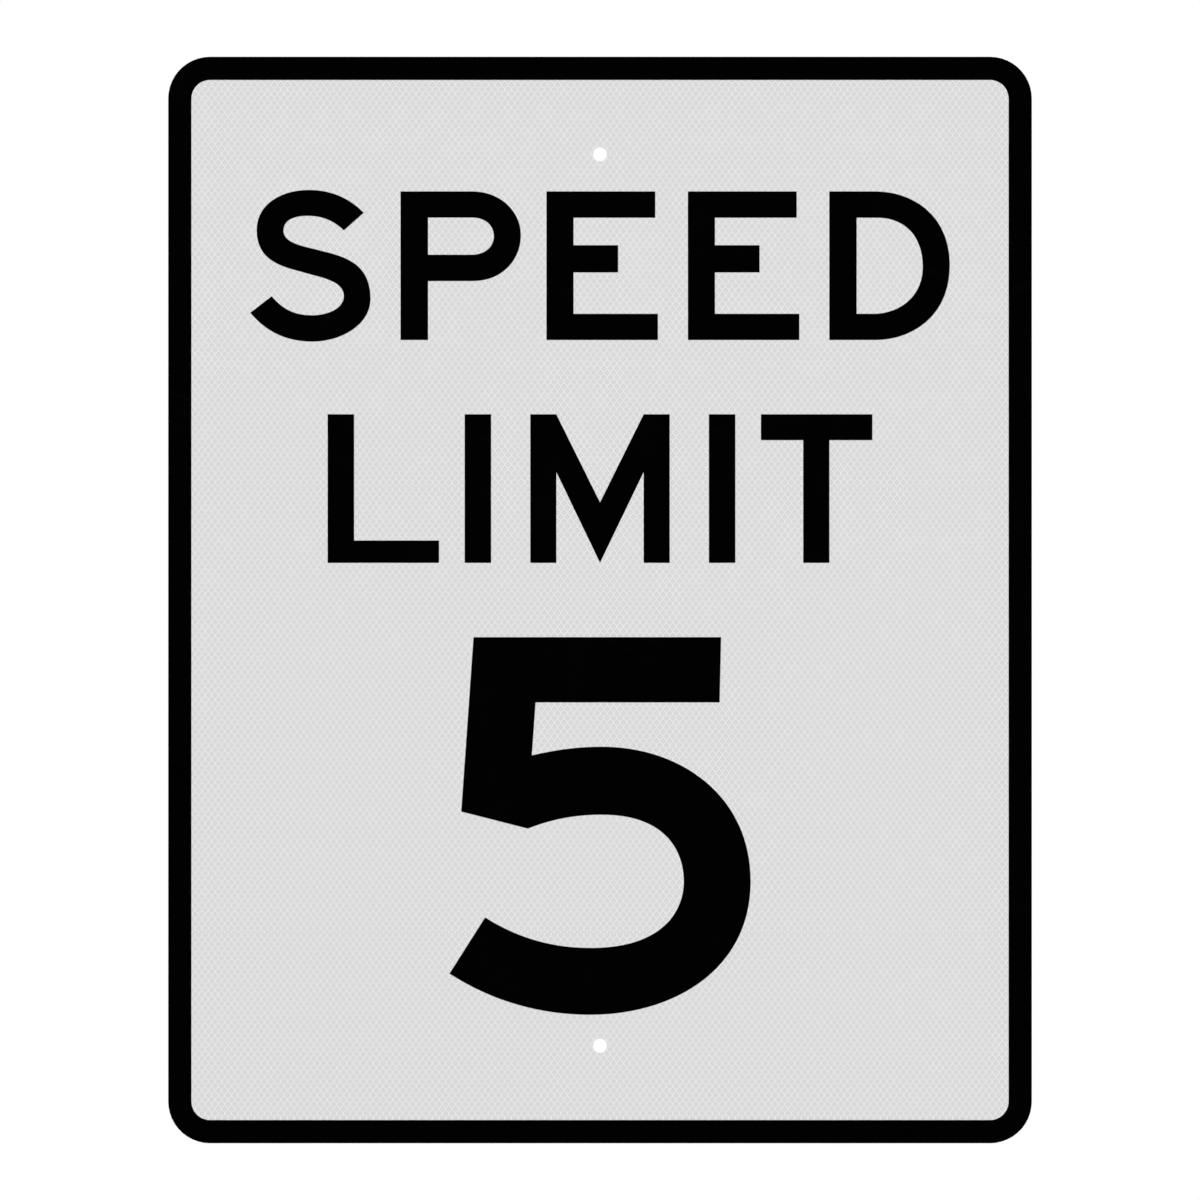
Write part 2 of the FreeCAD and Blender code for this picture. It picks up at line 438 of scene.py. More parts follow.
# %% [markdown]
# How a finish is put together
# Each finish is one Principled shader. Values that are the same all over are set on it, and the
# patterns are fed into it from the shared groups. Every pattern is placed by the object's own
# coordinates, so it keeps its real size and stays on its piece. A Mix node has sockets of the same
# name for numbers, vectors and colours, so the ones for colours are picked by their places.

# %% Helpers for finishes
MIX_COLOUR_SOCKETS = (0, 6, 7)
MIX_COLOUR_RESULT = 2


def new_finish(name, **constants):
    """A material with one Principled shader. Values that are the same all over are set on it here."""
    finish = bpy.data.materials.new(name)
    finish.use_nodes = True
    tree = finish.node_tree
    tree.nodes.clear()
    shader = put(tree, "ShaderNodeBsdfPrincipled", **constants)
    put(tree, "ShaderNodeOutputMaterial", Surface=shader.outputs[0])
    place = put(tree, "ShaderNodeTexCoord").outputs["Object"]
    return finish, tree, shader, place


def place_group(tree, group, **inputs):
    """Place a shared group in a tree, feed its inputs by name and return its first output."""
    return put(tree, "ShaderNodeGroup", {"node_tree": group}, **inputs).outputs[0]


def blend(tree, mask, low, high):
    """One colour where the mask is 0 and another where it is 1."""
    mix = tree.nodes.new("ShaderNodeMix")
    mix.data_type = "RGBA"
    for socket, source in zip(MIX_COLOUR_SOCKETS, (mask, low, high)):
        feed(tree, mix.inputs[socket], source)
    return mix.outputs[MIX_COLOUR_RESULT]


def grey(level):
    return (level, level, level, 1.0)


# %% [markdown]
# White sheeting
# The white comes from deep inside the sheeting, under a smooth clear face. So the base is pale and
# fairly matt, and a clear coat over it carries the gloss. The walls are lighter than the cells, and
# the cells are painted darkest beside them: that is painted shade along the walls.

# %% Make the white sheeting
# Painted shade: the tone of the cells right beside their walls.
SHADED_RIM_TONE = 0.658
CELL_TONE = 0.708
WALL_TONE = 0.861


def make_white_sheeting():
    finish, tree, shader, place = new_finish(
        "white_sheeting", IOR=1.5, Specular_IOR_Level=0.2, Coat_Weight=1.0, Coat_Roughness=0.08,
        Coat_IOR=1.5)
    lattice = put(
        tree, "ShaderNodeGroup", {"node_tree": cell_walls}, Position=place, Cell_width=CELL_WIDTH,
        Row_pitch=ROW_PITCH, Upright_wall=UPRIGHT_WALL, Line_width=WALL_LINE, Rim_width=SHADED_RIM_WIDTH,
        First_column=FIRST_COLUMN, First_row=FIRST_ROW, Print_length=PRINT_LENGTH,
        Print_foot=PRINT_FOOT).outputs
    # The cells get painted shade beside their walls and their own tone in the middle.
    cell = blend(tree, lattice["Middle"], grey(SHADED_RIM_TONE), grey(CELL_TONE))
    feed(tree, shader.inputs["Base Color"], blend(tree, lattice["Wall"], cell, grey(WALL_TONE)))
    cloud = place_group(tree, soft_clouding, Position=place, Patches_per_metre=14.0, Middle=0.42, Swing=0.05)
    feed(tree, shader.inputs["Roughness"], cloud)
    return finish


white_sheeting = make_white_sheeting()

# %% [markdown]
# Black film
# The film is a smooth, nearly black plastic with a satin gloss. It mirrors the dark side of the
# studio when it is seen straight on, and so it is as black as in the photograph. From the side it
# shows its gloss, a fine ripple and a few scuffs, which are duller than the film about them.

# %% Make the black film
FILM_TONE = 0.0003
FILM_SCUFF_DULLS = 0.06
RIPPLE_DEPTH = 0.004 * MM


def make_black_film():
    finish, tree, shader, place = new_finish(
        "black_film", Base_Color=grey(FILM_TONE), IOR=1.5, Specular_IOR_Level=0.4)
    cloud = place_group(tree, soft_clouding, Position=place, Patches_per_metre=22.0, Middle=0.16, Swing=0.03)
    scuff = place_group(tree, hairline_scuffs, Position=place, Turn=math.radians(64), Lines_per_metre=90.0,
                        Stretch=30.0, Fineness=0.01)
    feed(tree, shader.inputs["Roughness"], maths(tree, "MULTIPLY_ADD", scuff, FILM_SCUFF_DULLS, cloud))
    ripple = place_group(tree, fine_ripple, Position=place, Ripples_per_metre=420.0, Depth=RIPPLE_DEPTH)
    feed(tree, shader.inputs["Normal"], ripple)
    return finish


black_film = make_black_film()

# %% [markdown]
# Where the plate ends
# The sheared outline of the plate and its punched holes look different from its face: the cut walls
# are dull and streaked the way the punch went, and the rim beside them is rubbed bright. A group
# finds those places. It gives the distance from the outline, whose corners are round, and the
# distance from the nearer hole.

# %% Build the group for the plate's edges
CORNER_RADIUS = 28.575 * MM
HOLE_HEIGHT = 304.8 * MM
HOLE_RADIUS = 4.7625 * MM


def length_of(tree, first, second):
    """The length of a step of two parts at right angles."""
    step = put(tree, "ShaderNodeCombineXYZ", X=first, Y=second).outputs[0]
    return put(tree, "ShaderNodeVectorMath", {"operation": "LENGTH"}, Vector=step).outputs["Value"]


def build_plate_edges():
    """Group: how far a point lies in from the outline, and how far out from the nearer hole."""
    sizes = ["Half width", "Half height", "Corner radius", "Hole height", "Hole radius"]
    inputs = {"Position": "NodeSocketVector"}
    inputs.update({name: "NodeSocketFloat" for name in sizes})
    group, given, result = new_group(
        "plate_edges", inputs, {"From outline": "NodeSocketFloat", "From hole": "NodeSocketFloat"})
    place = put(group, "ShaderNodeSeparateXYZ", Vector=given["Position"]).outputs
    across = maths(group, "ABSOLUTE", place["X"])
    up = maths(group, "ABSOLUTE", place["Z"])
    radius = given["Corner radius"]
    past_side = maths(group, "SUBTRACT", across, maths(group, "SUBTRACT", given["Half width"], radius))
    past_end = maths(group, "SUBTRACT", up, maths(group, "SUBTRACT", given["Half height"], radius))
    round_side = maths(group, "MAXIMUM", past_side, 0.0)
    round_end = maths(group, "MAXIMUM", past_end, 0.0)
    corner = length_of(group, round_side, round_end)
    inner = maths(group, "MINIMUM", maths(group, "MAXIMUM", past_side, past_end), 0.0)
    from_outline = maths(group, "SUBTRACT", maths(group, "SUBTRACT", radius, corner), inner)
    feed(group, result["From outline"], from_outline)
    spoke = length_of(group, across, maths(group, "SUBTRACT", up, given["Hole height"]))
    feed(group, result["From hole"], maths(group, "SUBTRACT", spoke, given["Hole radius"]))
    return group


plate_edges = build_plate_edges()
print("plate edge group has", len(plate_edges.nodes), "nodes")

# %% [markdown]
# Mill aluminium
# The blank is cut from rolled sheet. Rolling leaves fine lines and broader bands along the sheet,
# which catch the light differently. Stacking and handling leave scuffs and cloudy patches. The back
# is bare, so all of this shows there. A pair of distances from an edge says where its effect has
# gone and where it is full.

# %% Make the mill aluminium
DULL_METAL = (0.45, 0.46, 0.475, 1)
BRIGHT_METAL = (0.66, 0.67, 0.68, 1)
RUBBED_METAL = (0.80, 0.81, 0.82, 1)

FINE_LINES = (1500.0, 2.5, 2.5)
BROAD_BANDS = (70.0, 0.5, 0.5)
TORN_LINES = (1600.0, 90.0, 1600.0)
RUB_PATCHES = (130.0, 130.0, 130.0)
RUB_PATCH_EDGE = (0.4, 0.6)
LEAST_RUB = 0.3
FINE_SHARE = 0.55
BROAD_SHARE = 0.25
CLOUD_SHARE = 0.20

OUTLINE_RUB = (2.2 * MM, 0.3 * MM)
HOLE_RUB = (2.6 * MM, 1.4 * MM)
WALL_SKIN = (0.1 * MM, 0.03 * MM)

SCUFF_LIGHTENS = 0.4
SCUFF_DULLS = 0.12
RUBBED_ROUGHNESS = 0.22
CUT_ROUGHNESS = 0.5
LINE_DEPTH = 0.008 * MM


def streaks(tree, place, squeeze):
    """An uneven pattern, squeezed to lines by a scale for each axis."""
    spot = put(tree, "ShaderNodeMapping", Vector=place, Scale=squeeze).outputs[0]
    return put(tree, "ShaderNodeTexNoise", Vector=spot, Scale=1.0, Detail=3.0, Roughness=0.6).outputs[0]


def make_mill_aluminium():
    finish, tree, shader, place = new_finish("mill_aluminium", Metallic=1.0, IOR=1.5)
    fine = streaks(tree, place, FINE_LINES)
    broad = streaks(tree, place, BROAD_BANDS)
    cloud = place_group(tree, soft_clouding, Position=place, Patches_per_metre=6.0, Middle=0.5, Swing=0.5)
    level = maths(tree, "MULTIPLY_ADD", fine, FINE_SHARE, maths(tree, "MULTIPLY", broad, BROAD_SHARE))
    level = maths(tree, "MULTIPLY_ADD", cloud, CLOUD_SHARE, level)
    level = ramp(tree, level, NOISE_LOW, NOISE_HIGH)

    edges = put(tree, "ShaderNodeGroup", {"node_tree": plate_edges}, Position=place,
                Half_width=plate_width / 2, Half_height=plate_height / 2, Corner_radius=CORNER_RADIUS,
                Hole_height=HOLE_HEIGHT, Hole_radius=HOLE_RADIUS).outputs
    patchy = ramp(tree, streaks(tree, place, RUB_PATCHES), *RUB_PATCH_EDGE, LEAST_RUB, 1.0)
    rim = ramp(tree, edges["From outline"], *OUTLINE_RUB)
    ring = ramp(tree, edges["From hole"], *HOLE_RUB)
    rubbed = maths(tree, "MULTIPLY", maths(tree, "MAXIMUM", rim, ring), patchy)
    cut = maths(tree, "MAXIMUM", ramp(tree, edges["From outline"], *WALL_SKIN),
                ramp(tree, edges["From hole"], *WALL_SKIN))
    torn = streaks(tree, place, TORN_LINES)

    steep = place_group(tree, hairline_scuffs, Position=place, Turn=math.radians(7), Lines_per_metre=60.0,
                        Stretch=40.0, Fineness=0.007)
    slanted = place_group(tree, hairline_scuffs, Position=place, Turn=math.radians(-58),
                          Lines_per_metre=45.0, Stretch=40.0, Fineness=0.005)
    scuff = maths(tree, "MAXIMUM", steep, slanted)

    colour = blend(tree, level, DULL_METAL, BRIGHT_METAL)
    colour = blend(tree, maths(tree, "MULTIPLY", scuff, SCUFF_LIGHTENS), colour, RUBBED_METAL)
    colour = blend(tree, rubbed, colour, RUBBED_METAL)
    colour = blend(tree, cut, colour, blend(tree, torn, DULL_METAL, BRIGHT_METAL))
    feed(tree, shader.inputs["Base Color"], colour)

    dull = place_group(tree, soft_clouding, Position=place, Patches_per_metre=5.0, Middle=0.33, Swing=0.07)
    dull = maths(tree, "MULTIPLY_ADD", scuff, SCUFF_DULLS, dull)
    dull = between(tree, rubbed, dull, RUBBED_ROUGHNESS)
    feed(tree, shader.inputs["Roughness"], between(tree, cut, dull, CUT_ROUGHNESS))
    height = between(tree, cut, fine, torn)
    bump = put(tree, "ShaderNodeBump", Height=height, Distance=LINE_DEPTH, Strength=1.0)
    feed(tree, shader.inputs["Normal"], bump.outputs[0])
    return finish


mill_aluminium = make_mill_aluminium()

# %% [markdown]
# Dress the solids
# The blank, the border and the number keep their own meshes, and only get their finish.

# %% Give the solids their finish
def dress(name, finish):
    """Give a solid its finish."""
    mesh = nodes[name].data
    mesh.materials.clear()
    mesh.materials.append(finish)
    print(name, "gets", finish.name)


dress("sign_blank", mill_aluminium)
dress("border_film", black_film)
dress("numeral_film", black_film)

# %% [markdown]
# Press the cells into the sheeting
# The sheeting's face is nearly smooth: each cell is a very low six-sided crown, two hundredths of a
# millimetre high, so its facets glint when the sign turns. There are about 31,000 of them, so a
# geometry tree lays them: one cell, a staggered grid of points, an instance on each. The grid is
# one print of the drum. Its face is pushed back to make a slab, and the slab is trimmed to the
# length of the print. Three such prints stand on each other, and last the sheeting's own outline,
# with its round corners and holes, trims them all.

# %% Build the tree for the pressed sheeting
SPARE_ROWS = 4
CELL_WELD = 0.01 * MM
SLAB_WELD = 0.001 * MM
BLOCK_SLABS_DEEP = 4.0


def build_pressed_sheeting():
    """Geometry tree: prints of staggered six-sided cells, trimmed by the outline of the sheeting."""
    tree = bpy.data.node_groups.new("pressed_sheeting", "GeometryNodeTree")
    for name in ("Cell width", "Row pitch", "Upright wall", "Crown", "First column", "First row",
                 "Print length", "Print foot", "Face", "Slab depth"):
        tree.interface.new_socket(name, in_out="INPUT", socket_type="NodeSocketFloat")
    for name in ("Columns", "Rows", "Prints"):
        tree.interface.new_socket(name, in_out="INPUT", socket_type="NodeSocketInt")
    tree.interface.new_socket("Outline", in_out="INPUT", socket_type="NodeSocketObject")
    tree.interface.new_socket("Finish", in_out="INPUT", socket_type="NodeSocketMaterial")
    tree.interface.new_socket("Geometry", in_out="OUTPUT", socket_type="NodeSocketGeometry")
    given = tree.nodes.new("NodeGroupInput").outputs
    cell = lay_cell(tree, given)
    slab = lay_print(tree, given, cell)
    prints = stack_prints(tree, given, slab)
    outline = put(tree, "GeometryNodeObjectInfo", Object=given["Outline"]).outputs["Geometry"]
    trimmed = common(tree, prints, outline)
    flat = put(tree, "GeometryNodeSetShadeSmooth", Geometry=trimmed)
    flat.inputs["Shade Smooth"].default_value = False
    real = put(tree, "GeometryNodeRealizeInstances", Geometry=flat.outputs[0])
    dressed = put(tree, "GeometryNodeSetMaterial", Geometry=real.outputs[0], Material=given["Finish"])
    result = tree.nodes.new("NodeGroupOutput")
    tree.links.new(dressed.outputs[0], result.inputs[0])
    return tree


def common(tree, first, second):
    """What two closed solids have in common."""
    cut = tree.nodes.new("GeometryNodeMeshBoolean")
    cut.operation = "INTERSECT"
    cut.solver = "MANIFOLD"
    tree.links.new(second, cut.inputs["Mesh 2"])
    tree.links.new(first, cut.inputs["Mesh 2"])
    return cut.outputs[0]


def lay_cell(tree, given):
    """One cell of six facets about the origin, its upright walls at the left and right."""
    ring = put(tree, "GeometryNodeMeshCircle", {"fill_type": "TRIANGLE_FAN"}, Vertices=6, Radius=1.0)
    spot = put(tree, "GeometryNodeInputPosition").outputs[0]
    part = put(tree, "ShaderNodeSeparateXYZ", Vector=spot).outputs
    reach = maths(tree, "DIVIDE", given["Cell width"], -2 * math.sin(math.radians(60)))
    across = maths(tree, "MULTIPLY", part["Y"], reach)
    beyond = maths(tree, "SUBTRACT", maths(tree, "ABSOLUTE", part["X"]), 0.5)
    rise = maths(tree, "SUBTRACT", given["Row pitch"], given["Upright wall"])
    beyond = maths(tree, "MULTIPLY", beyond, maths(tree, "MULTIPLY", rise, 2.0))
    beyond = maths(tree, "ADD", beyond, maths(tree, "DIVIDE", given["Upright wall"], 2.0))
    up = maths(tree, "MULTIPLY", beyond, maths(tree, "SIGN", part["X"]))
    length = put(tree, "ShaderNodeVectorMath", {"operation": "LENGTH"}, Vector=spot).outputs["Value"]
    middle = maths(tree, "SUBTRACT", 1.0, length)
    forwards = maths(tree, "MULTIPLY", maths(tree, "MULTIPLY", middle, given["Crown"]), -1.0)
    shaped = put(tree, "ShaderNodeCombineXYZ", X=across, Y=forwards, Z=up).outputs[0]
    return put(tree, "GeometryNodeSetPosition", Geometry=ring.outputs[0], Position=shaped).outputs[0]


def lay_print(tree, given, cell):
    """One print: staggered rows of cells as a closed slab, cut to the print's length."""
    count = maths(tree, "MULTIPLY", given["Columns"], given["Rows"])
    index = put(tree, "GeometryNodeInputIndex").outputs[0]
    row = maths(tree, "FLOOR", maths(tree, "DIVIDE", index, given["Columns"]))
    column = maths(tree, "SUBTRACT", index, maths(tree, "MULTIPLY", row, given["Columns"]))
    column = maths(tree, "SUBTRACT", column, maths(tree, "DIVIDE", given["Columns"], 2.0))
    odd = maths(tree, "MULTIPLY", maths(tree, "MODULO", row, 2.0), 0.5)
    column = maths(tree, "ADD", column, odd)
    across = maths(tree, "MULTIPLY_ADD", column, given["Cell width"], given["First column"])
    row = maths(tree, "SUBTRACT", row, SPARE_ROWS / 2)
    up = maths(tree, "MULTIPLY_ADD", row, given["Row pitch"], given["First row"])
    back = maths(tree, "ADD", given["Face"], given["Slab depth"])
    spot = put(tree, "ShaderNodeCombineXYZ", X=across, Y=back, Z=up).outputs[0]
    grid = put(tree, "GeometryNodePoints", Count=count, Position=spot).outputs[0]
    laid = put(tree, "GeometryNodeInstanceOnPoints", Points=grid, Instance=cell).outputs[0]
    laid = put(tree, "GeometryNodeRealizeInstances", Geometry=laid).outputs[0]
    laid = put(tree, "GeometryNodeMergeByDistance", Geometry=laid, Distance=CELL_WELD).outputs[0]
    push = put(tree, "ShaderNodeCombineXYZ", Y=maths(tree, "MULTIPLY", given["Slab depth"], -1.0)).outputs[0]
    pushed = put(tree, "GeometryNodeExtrudeMesh", {"mode": "FACES"}, Mesh=laid, Offset=push,
                 Offset_Scale=1.0, Individual=False).outputs[0]
    lid = put(tree, "GeometryNodeFlipFaces", Mesh=laid).outputs[0]
    slab = tree.nodes.new("GeometryNodeJoinGeometry")
    tree.links.new(lid, slab.inputs[0])
    tree.links.new(pushed, slab.inputs[0])
    closed = put(tree, "GeometryNodeMergeByDistance", Geometry=slab.outputs[0],
                 Distance=SLAB_WELD).outputs[0]
    width = maths(tree, "MULTIPLY", given["Columns"], given["Cell width"])
    depth = maths(tree, "MULTIPLY", given["Slab depth"], BLOCK_SLABS_DEEP)
    size = put(tree, "ShaderNodeCombineXYZ", X=width, Y=depth, Z=given["Print length"]).outputs[0]
    block = put(tree, "GeometryNodeMeshCube", Size=size).outputs[0]
    lift = put(tree, "ShaderNodeCombineXYZ", Y=given["Face"],
               Z=maths(tree, "DIVIDE", given["Print length"], 2.0)).outputs[0]
    block = put(tree, "GeometryNodeTransform", Geometry=block, Translation=lift).outputs[0]
    return common(tree, closed, block)


def stack_prints(tree, given, slab):
    """Prints on top of each other, joined into one solid."""
    index = put(tree, "GeometryNodeInputIndex").outputs[0]
    number = maths(tree, "SUBTRACT", index, 1.0)
    up = maths(tree, "MULTIPLY_ADD", number, given["Print length"], given["Print foot"])
    spot = put(tree, "ShaderNodeCombineXYZ", Z=up).outputs[0]
    feet = put(tree, "GeometryNodePoints", Count=given["Prints"], Position=spot).outputs[0]
    stood = put(tree, "GeometryNodeInstanceOnPoints", Points=feet, Instance=slab).outputs[0]
    joined = tree.nodes.new("GeometryNodeMeshBoolean")
    joined.operation = "UNION"
    joined.solver = "MANIFOLD"
    tree.links.new(stood, joined.inputs["Mesh 2"])
    return joined.outputs[0]


pressed_sheeting = build_pressed_sheeting()
print("pressed sheeting tree has", len(pressed_sheeting.nodes), "nodes")

# %% [markdown]
# Trim and keep the pressed sheeting
# The knife that trims the prints is a copy of the plain sheeting. Its face is moved forwards past
# the crowns, so that it cuts round corners, straight sides and both holes, and nothing off the
# face. The tree then runs once, and its mesh is kept as the finished piece.

# %% Make the outline that trims the sheeting
PROUD = 0.1 * MM


def make_trim_outline():
    """A closed copy of the plain sheeting, its face moved forwards past the crowns."""
    copy = bmesh.new()
    copy.from_mesh(nodes["reflective_sheeting"].data)
    bmesh.ops.remove_doubles(copy, verts=copy.verts[:], dist=SLAB_WELD)
    for corner in copy.verts:
        if corner.co.y < (sheet_back + sheet_front) / 2:
            corner.co.y -= PROUD
    open_edges = sum(not edge.is_manifold for edge in copy.edges)
    mesh = bpy.data.meshes.new("trim_outline")
    copy.to_mesh(mesh)
    copy.free()
    outline = bpy.data.objects.new("trim_outline", mesh)
    bpy.context.scene.collection.objects.link(outline)
    print("trim outline:", len(mesh.polygons), "faces,", open_edges, "open edges")
    return outline


# %% Run the tree and keep its mesh
PRINTS = 3


def set_inputs(modifier, values):
    """Set a geometry tree's inputs by the identifiers of its sockets."""
    for item in modifier.node_group.interface.items_tree:
        if item.in_out == "INPUT" and item.name in values:
            modifier[item.identifier] = values[item.name]


def make_sheeting():
    outline = make_trim_outline()
    holder = bpy.data.objects.new("sheeting_holder", bpy.data.meshes.new("sheeting_holder"))
    bpy.context.scene.collection.objects.link(holder)
    modifier = holder.modifiers.new("pressed_sheeting", "NODES")
    modifier.node_group = pressed_sheeting
    columns = 2 * math.ceil(plate_width / CELL_WIDTH / 2 + 1)
    rows = math.ceil(PRINT_LENGTH / ROW_PITCH) + SPARE_ROWS
    set_inputs(modifier, {
        "Cell width": CELL_WIDTH, "Row pitch": ROW_PITCH, "Upright wall": UPRIGHT_WALL, "Crown": CROWN,
        "First column": FIRST_COLUMN, "First row": FIRST_ROW, "Print length": PRINT_LENGTH,
        "Print foot": PRINT_FOOT, "Face": sheet_front, "Slab depth": 2 * (sheet_back - sheet_front),
        "Columns": columns, "Rows": rows, "Prints": PRINTS, "Outline": outline, "Finish": white_sheeting,
    })
    graph = bpy.context.evaluated_depsgraph_get()
    mesh = bpy.data.meshes.new_from_object(holder.evaluated_get(graph), depsgraph=graph)
    mesh.name = "sheeting_with_cells"
    bpy.data.objects.remove(holder)
    bpy.data.objects.remove(outline)
    sheeting = bpy.data.objects.new("sheeting_with_cells", mesh)
    bpy.context.scene.collection.objects.link(sheeting)
    triangles = sum(len(face.vertices) - 2 for face in mesh.polygons)
    print("sheeting:", columns, "by", rows, "cells in a print,", triangles, "triangles after trimming")
    return sheeting


sheeting = make_sheeting()
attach(sheeting, "root")
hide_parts("reflective_sheeting")

# %% [markdown]
# How a letter is drawn
# Traffic letters are plain strokes of nearly one width, so that they read from far away. Here each
# letter is drawn once round, as a knife cuts it from film: from point to point in millimetres from
# its own left foot. A point alone ends a straight cut. A bend also has the heading in which it
# leaves and arrives, and how far it runs on along each before it turns, as a share of the chord.
# All letters share one height, and the plain ones share the width of their strokes.

# %% Helpers for letters
LETTER_HEIGHT = 101.6
STROKE = 18.1
ROUND_STEPS = 14
SAME_POINT = 1e-6
RIGHT, UP, LEFT, DOWN = 0, 90, 180, 270


def heading(angle):
    return Vector((math.cos(math.radians(angle)), math.sin(math.radians(angle))))


def bend(start, end, leave, leave_pull, arrive, arrive_pull):
    """Points of a cubic curve between two points, without the first."""
    chord = (end - start).length
    first = start + heading(leave) * leave_pull * chord
    second = end - heading(arrive) * arrive_pull * chord
    points = []
    for step in range(1, ROUND_STEPS + 1):
        t = step / ROUND_STEPS
        s = 1 - t
        points.append(start * s ** 3 + first * 3 * s * s * t + second * 3 * s * t * t + end * t ** 3)
    return points


def trace(*cuts):
    """A closed outline. A cut is a point, or a point with the headings and pulls of its bend."""
    points = [Vector(cuts[0])]
    for cut in cuts[1:]:
        end = Vector(cut[:2])
        points += [end] if len(cut) == 2 else bend(points[-1], end, *cut[2:])
    if (points[-1] - points[0]).length < SAME_POINT:
        points.pop()
    return points


# %% [markdown]
# The straight letters
# Their strokes are 18 mm wide. The foot of the L is thinner, and the middle arm of the E is shorter
# and lies a little above the middle.

# %% Draw the straight letters
def draw_i():
    return STROKE, [trace((0, 0), (STROKE, 0), (STROKE, LETTER_HEIGHT), (0, LETTER_HEIGHT))]


def draw_l():
    width = 76.2
    foot = 15.3
    return width, [trace((0, 0), (width, 0), (width, foot), (STROKE, foot),
                         (STROKE, LETTER_HEIGHT), (0, LETTER_HEIGHT))]


def draw_t():
    width = 76.2
    under = LETTER_HEIGHT - 17.7
    left = 28.9
    right = left + 17.9
    return width, [trace((left, 0), (right, 0), (right, under), (width, under), (width, LETTER_HEIGHT),
                         (0, LETTER_HEIGHT), (0, under), (left, under))]


def draw_e():
    width = 76.2
    top_reach = 74.4
    arm_reach = 49.0
    arm_foot = 46.2
    arm_top = 64.8
    stem = 18.5
    top_under = LETTER_HEIGHT - 18.0
    return width, [trace((0, 0), (width, 0), (width, 17.9), (stem, 17.9),
                         (stem, arm_foot), (arm_reach, arm_foot), (arm_reach, arm_top), (stem, arm_top),
                         (stem, top_under), (top_reach, top_under),
                         (top_reach, LETTER_HEIGHT), (0, LETTER_HEIGHT))]


def draw_m():
    width = 95.3
    stem = 17.8
    middle = width / 2
    crotch = 41.4
    armpit = 62.1
    right = width - stem
    return width, [trace((0, 0), (stem, 0), (stem, armpit), (middle, 0), (right, armpit), (right, 0),
                         (width, 0), (width, LETTER_HEIGHT), (right, LETTER_HEIGHT), (middle, crotch),
                         (stem, LETTER_HEIGHT), (0, LETTER_HEIGHT))]


# %% [markdown]
# The round letters
# The bowls of the P and the D leave their straight strokes level, run upright at their widest point
# and come back level. The S overshoots the line at its top and foot by a millimetre, so that it
# looks as tall as its straight neighbours.

# %% Draw the round letters
def draw_p():
    width = 82.3
    stem = 18.8
    outer = trace((0, 0), (stem, 0), (stem, 40.3), (49.6, 40.3), (width, 71.5, RIGHT, 0.44, UP, 0.37),
                  (49.1, LETTER_HEIGHT, UP, 0.38, LEFT, 0.42), (0, LETTER_HEIGHT))
    counter = trace((stem, 58.3), (stem, 83.7), (48.8, 83.7), (63.8, 70.9, RIGHT, 0.42, DOWN, 0.42),
                    (49.0, 58.3, DOWN, 0.40, LEFT, 0.40))
    return width, [outer, counter]


def draw_d():
    width = 82.4
    stem = 18.7
    outer = trace((0, 0), (32.1, 0), (width, 51.0, RIGHT, 0.32, UP, 0.50),
                  (31.9, LETTER_HEIGHT, UP, 0.50, LEFT, 0.33), (0, LETTER_HEIGHT))
    counter = trace((stem, 17.9), (stem, 83.6), (32.8, 83.6), (63.9, 49.9, RIGHT, 0.41, DOWN, 0.46),
                    (30.6, 17.9, DOWN, 0.48, LEFT, 0.32))
    return width, [outer, counter]


def draw_s():
    width = 82.3
    spine_fall = -16.8
    spine_rise = 165.5
    outline = trace(
        (4.4, 75.1), (37.9, 45.8, DOWN, 0.52, spine_fall, 0.29), (64.0, 30.1, spine_fall, 0.37, DOWN, 0.34),
        (42.1, 16.9, DOWN, 0.36, LEFT, 0.38), (14.7, 30.0, LEFT, 0.38, 129.3, 0.38), (0, 18.6),
        (42.8, -1.1, -49.8, 0.38, RIGHT, 0.37), (width, 28.2, RIGHT, 0.38, UP, 0.37),
        (45.9, 61.7, UP, 0.53, spine_rise, 0.33), (22.8, 74.7, spine_rise, 0.37, UP, 0.32),
        (39.2, 84.9, UP, 0.42, RIGHT, 0.40), (64.0, 74.9, RIGHT, 0.37, -44.0, 0.37), (77.7, 87.0),
        (39.9, 102.6, 134.7, 0.37, LEFT, 0.36), (4.4, 75.1, LEFT, 0.41, DOWN, 0.40))
    return width, [outline]


# %% [markdown]
# From an outline to a piece of film
# The outline and the counter inside it are filled together, so that the counter stays open. The
# filled face is then pushed forwards by the thickness of the film, which closes the piece.

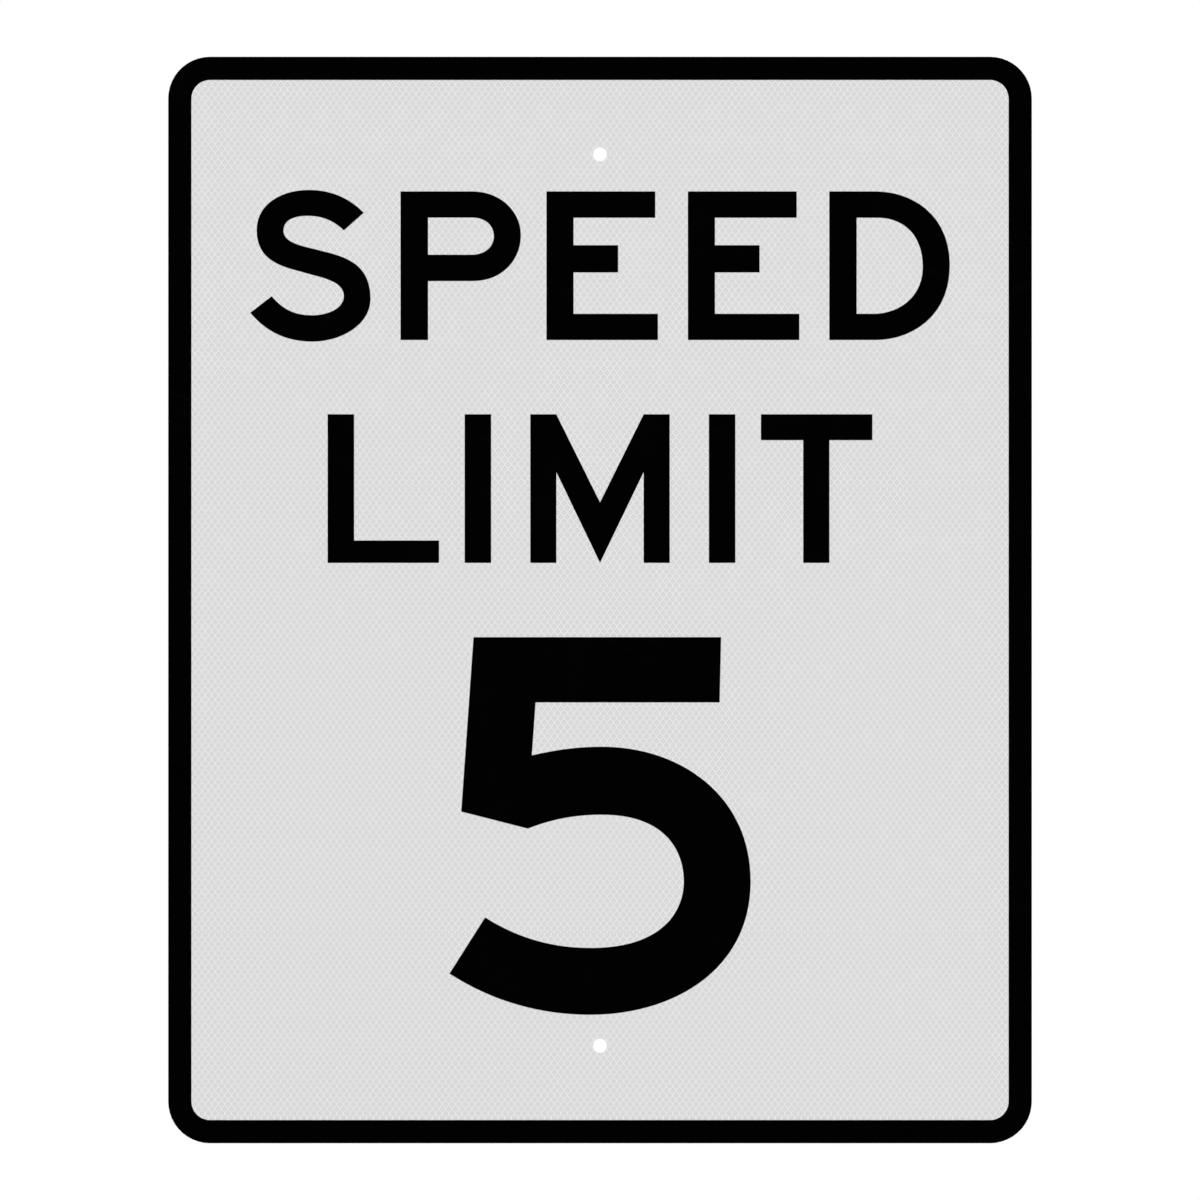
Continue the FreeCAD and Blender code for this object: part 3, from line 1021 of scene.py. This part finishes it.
# %% Cut a letter from film
def cut_letter(name, outlines, left, foot):
    """A flat piece of film on the sheeting, with its left foot at a place in millimetres."""
    piece = bmesh.new()
    for outline in outlines:
        corners = [piece.verts.new(((left + p.x) * MM, sheet_front, (foot + p.y) * MM)) for p in outline]
        for index, corner in enumerate(corners):
            piece.edges.new((corner, corners[(index + 1) % len(corners)]))
    bmesh.ops.triangle_fill(piece, edges=piece.edges[:], use_beauty=True, normal=(0, -1, 0))
    pushed = bmesh.ops.extrude_face_region(piece, geom=piece.faces[:])
    moved = [item for item in pushed["geom"] if isinstance(item, bmesh.types.BMVert)]
    bmesh.ops.translate(piece, verts=moved, vec=(0, -film_thickness, 0))
    bmesh.ops.recalc_face_normals(piece, faces=piece.faces[:])
    open_edges = sum(not edge.is_manifold for edge in piece.edges)
    mesh = bpy.data.meshes.new(name)
    piece.to_mesh(mesh)
    piece.free()
    mesh.materials.append(black_film)
    letter = bpy.data.objects.new(name, mesh)
    bpy.context.scene.collection.objects.link(letter)
    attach(letter, "root")
    print(name, "has", len(mesh.polygons), "faces and", open_edges, "open edges")
    return letter


# %% [markdown]
# Set the words
# A word is set from its letters' widths and the gaps between them, and centred on the sign. Two
# upright strokes side by side need the widest gap. Where one neighbour is open or round, the gap is
# smaller, or the word would seem to fall apart.

# %% Set both words
UPRIGHT_GAP = 26.8
ROUND_GAP = 20.5
OPEN_GAP = 17.5
FIRST_LINE = 177.8
SECOND_LINE = 25.4


def set_word(word, letters, gaps, line):
    """Cut the letters of a word and centre it on the sign."""
    drawn = [draw() for draw in letters]
    length = sum(width for width, outlines in drawn) + sum(gaps)
    left = -length / 2
    for place, ((width, outlines), gap) in enumerate(zip(drawn, gaps + [0]), start=1):
        cut_letter(f"{word}_letter_{place}", outlines, left, line)
        left += width + gap
    print(word, "is", round(length, 1), "mm long")


set_word("upper_word", [draw_s, draw_p, draw_e, draw_e, draw_d],
         [ROUND_GAP, OPEN_GAP, ROUND_GAP, ROUND_GAP], FIRST_LINE)
set_word("lower_word", [draw_l, draw_i, draw_m, draw_i, draw_t],
         [OPEN_GAP, UPRIGHT_GAP, UPRIGHT_GAP, OPEN_GAP], SECOND_LINE)
